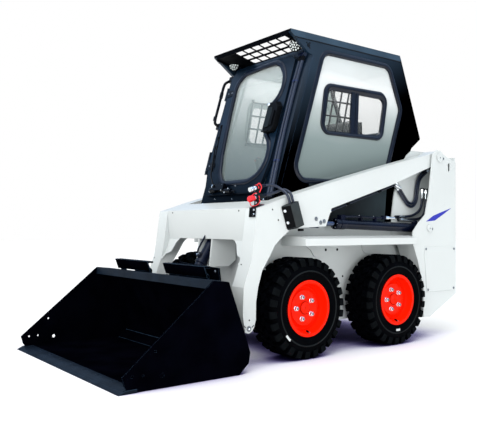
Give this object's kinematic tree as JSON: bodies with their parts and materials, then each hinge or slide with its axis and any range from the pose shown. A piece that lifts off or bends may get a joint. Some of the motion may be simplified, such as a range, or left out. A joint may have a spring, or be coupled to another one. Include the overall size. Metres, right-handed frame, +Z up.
{
  "type": "compact skid steer loader",
  "caption": "Wheeled compact skid steer loader with a closed cab, two radial lift arms, a bucket on a quick-attach frame, opening doors and hood, and four rolling wheels",
  "frame": {"origin": "centre of the bottom of the bounding box: on the ground, at the middle of the overall width and length", "axes": "+Z up, -Y forward towards the bucket, +X to the machine's left, length along Y"},
  "size_m": [1.4, 2.82, 2],
  "materials": {
    "body_paint": "satin off-white machine paint",
    "cab_paint": "satin blue-black paint",
    "bucket_paint": "satin black paint",
    "rim_paint": "gloss orange-red paint",
    "tyre": "moulded black rubber",
    "bare_steel": "machined steel",
    "hose_rubber": "braided black rubber hose",
    "rod_chrome": "hard chrome",
    "black_steel": "black enamel",
    "engine_iron": "cast iron",
    "window_glass": "clear safety glass",
    "lamp_housing": "black moulded plastic",
    "tail_lens": "red lens",
    "seat_vinyl": "black seat vinyl",
    "lever_plastic": "black moulded plastic"
  },
  "bodies": {
    "chassis": {"main_frame": "body_paint", "uprights": "body_paint", "step_rails": "body_paint", "axle_housings": "black_steel", "engine_block": "engine_iron", "footwell_floor": "black_steel", "pivot_pins": "bare_steel", "rear_crossmember": "body_paint", "cab_left_side": "cab_paint", "cab_right_side": "cab_paint", "cab_front_frame": "cab_paint", "cab_rear_frame": "cab_paint", "cab_roof": "cab_paint", "side_windows": "window_glass", "rear_window": "window_glass", "visor_grille": "cab_paint", "work_lights": "lamp_housing", "seat_platform": "black_steel", "operator_seat": "seat_vinyl", "control_levers": "lever_plastic", "tail_lights": "tail_lens", "loop_hoses": "hose_rubber", "feed_hoses": "hose_rubber", "pillar_conduits": "hose_rubber", "hose_unions": "bare_steel"},
    "lift_arms": {"left_lift_arm": "body_paint", "right_lift_arm": "body_paint", "front_crossmember": "body_paint", "tilt_base_pin": "bare_steel", "bucket_pins": "bare_steel", "hose_guard": "cab_paint", "aux_couplers": "bare_steel", "boom_hoses": "hose_rubber"},
    "bucket": {"quick_attach": "bucket_paint", "bucket_shell": "bucket_paint", "bucket_sides": "bucket_paint", "cutting_edge": "bucket_paint", "bucket_steps": "bucket_paint"},
    "left_lift_barrel": {"left_lift_cylinder": "black_steel"},
    "left_lift_piston": {"left_lift_rod": "rod_chrome"},
    "right_lift_barrel": {"right_lift_cylinder": "black_steel"},
    "right_lift_piston": {"right_lift_rod": "rod_chrome"},
    "tilt_barrel": {"tilt_cylinder": "black_steel"},
    "tilt_piston": {"tilt_rod": "rod_chrome"},
    "cab_door_leaf": {"cab_door": "cab_paint", "door_glass": "window_glass"},
    "rear_door_leaf": {"rear_door": "body_paint"},
    "engine_hood_lid": {"engine_hood": "body_paint"},
    "front_left_wheel": {"front_left_rim": "rim_paint", "front_left_tyre": "tyre"},
    "front_right_wheel": {"front_right_rim": "rim_paint", "front_right_tyre": "tyre"},
    "rear_left_wheel": {"rear_left_rim": "rim_paint", "rear_left_tyre": "tyre"},
    "rear_right_wheel": {"rear_right_rim": "rim_paint", "rear_right_tyre": "tyre"}
  },
  "joints": [
    {"name": "front_left_wheel_spin", "type": "hinge", "parent": "chassis", "child": "front_left_wheel", "pos_m": [0.5135, -0.142, 0.296], "axis": [1, 0, 0], "continuous": true},
    {"name": "front_right_wheel_spin", "type": "hinge", "parent": "chassis", "child": "front_right_wheel", "pos_m": [-0.5135, -0.142, 0.296], "axis": [1, 0, 0], "continuous": true},
    {"name": "rear_left_wheel_spin", "type": "hinge", "parent": "chassis", "child": "rear_left_wheel", "pos_m": [0.5135, 0.657, 0.296], "axis": [1, 0, 0], "continuous": true},
    {"name": "rear_right_wheel_spin", "type": "hinge", "parent": "chassis", "child": "rear_right_wheel", "pos_m": [-0.5135, 0.657, 0.296], "axis": [1, 0, 0], "continuous": true},
    {"name": "lift", "type": "hinge", "parent": "chassis", "child": "lift_arms", "pos_m": [0, 1.178, 1.272], "axis": [-1, 0, 0], "range_deg": [0, 62]},
    {"name": "tilt", "type": "hinge", "parent": "lift_arms", "child": "bucket", "pos_m": [0, -0.537, 0.205], "axis": [1, 0, 0], "range_deg": [-25, 95]},
    {"name": "left_lift_cylinder_swing", "type": "hinge", "parent": "chassis", "child": "left_lift_barrel", "pos_m": [0.491, 1.058, 0.767], "axis": [-1, 0, 0], "range_deg": [0, 57]},
    {"name": "left_lift_rod_slide", "type": "slide", "parent": "left_lift_barrel", "child": "left_lift_piston", "axis": [0, -0.9995, 0.0316], "range_m": [0, 0.5463]},
    {"name": "right_lift_cylinder_swing", "type": "hinge", "parent": "chassis", "child": "right_lift_barrel", "pos_m": [-0.491, 1.058, 0.767], "axis": [-1, 0, 0], "range_deg": [0, 57]},
    {"name": "right_lift_rod_slide", "type": "slide", "parent": "right_lift_barrel", "child": "right_lift_piston", "axis": [0, -0.9995, 0.0316], "range_m": [0, 0.5463]},
    {"name": "tilt_cylinder_swing", "type": "hinge", "parent": "lift_arms", "child": "tilt_barrel", "pos_m": [0, -0.302, 0.84], "axis": [-1, 0, 0], "range_deg": [-3, 1]},
    {"name": "tilt_rod_slide", "type": "slide", "parent": "tilt_barrel", "child": "tilt_piston", "axis": [0, -0.5405, -0.8413], "range_m": [-0.0594, 0.2243]},
    {"name": "cab_door_swing", "type": "hinge", "parent": "chassis", "child": "cab_door_leaf", "pos_m": [-0.352, -0.20247, 1.2], "axis": [0, 0.3025, 0.9531], "range_deg": [-85, 0]},
    {"name": "rear_door_swing", "type": "hinge", "parent": "chassis", "child": "rear_door_leaf", "pos_m": [-0.412, 1.404, 0.8], "axis": [0, 0, 1], "range_deg": [0, 100]},
    {"name": "engine_hood_lift", "type": "hinge", "parent": "chassis", "child": "engine_hood_lid", "pos_m": [0, 1.184, 1.318], "axis": [1, 0, 0], "range_deg": [0, 65]}
  ],
  "couplings": [
    {"joint": "left_lift_cylinder_swing", "follows": "lift", "ratio": 0.9127},
    {"joint": "left_lift_rod_slide", "follows": "lift", "m_per_rad": 0.50437},
    {"joint": "right_lift_cylinder_swing", "follows": "lift", "ratio": 0.9127},
    {"joint": "right_lift_rod_slide", "follows": "lift", "m_per_rad": 0.50437},
    {"joint": "tilt_cylinder_swing", "follows": "tilt", "ratio": -0.026},
    {"joint": "tilt_rod_slide", "follows": "tilt", "m_per_rad": 0.13496}
  ]
}
